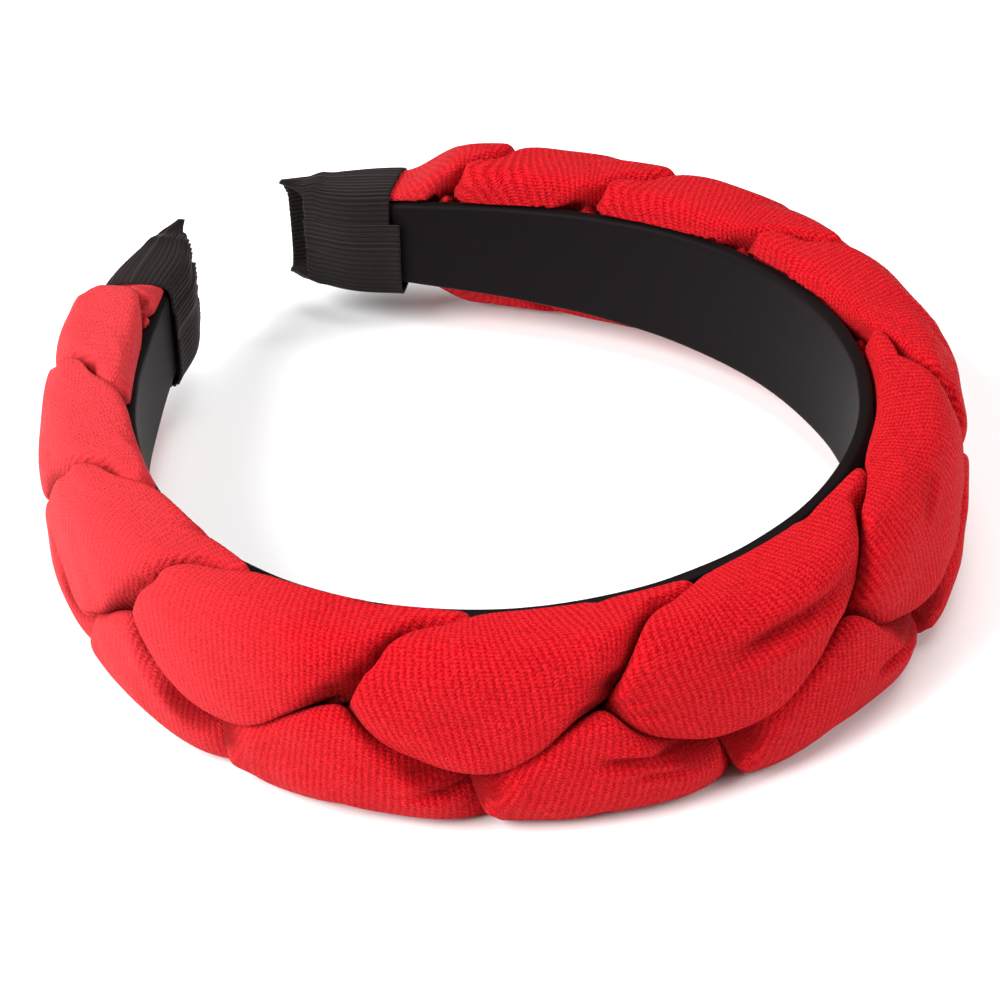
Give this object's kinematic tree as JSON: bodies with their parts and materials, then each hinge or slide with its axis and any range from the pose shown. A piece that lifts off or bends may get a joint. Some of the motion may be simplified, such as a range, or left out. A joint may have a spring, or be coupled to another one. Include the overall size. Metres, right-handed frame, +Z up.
{
  "type": "braided velvet headband",
  "caption": "Stiff open hoop headband covered in satin, with a padded velvet braid along its outside and ribbon caps on its ends.",
  "frame": {"origin": "under the middle of the headband's box, on the surface it lies on", "axes": "+Z up across the band's width as it lies on its long edge, +Y from the crown towards the open ends, +X to the right leg"},
  "size_m": [0.1542, 0.1692, 0.0356],
  "materials": {
    "black_satin": "smooth satin weave with a soft sheen",
    "red_velvet": "stretch velvet with fine ribs, short pile and a strong sheen",
    "black_ribbon": "ribbed grosgrain ribbon, matt"
  },
  "bodies": {
    "root": {"satin_band": "black_satin", "velvet_strand_1": "red_velvet", "velvet_strand_2": "red_velvet", "velvet_strand_3": "red_velvet", "ribbon_cap_left": "black_ribbon", "ribbon_cap_right": "black_ribbon"}
  },
  "joints": []
}
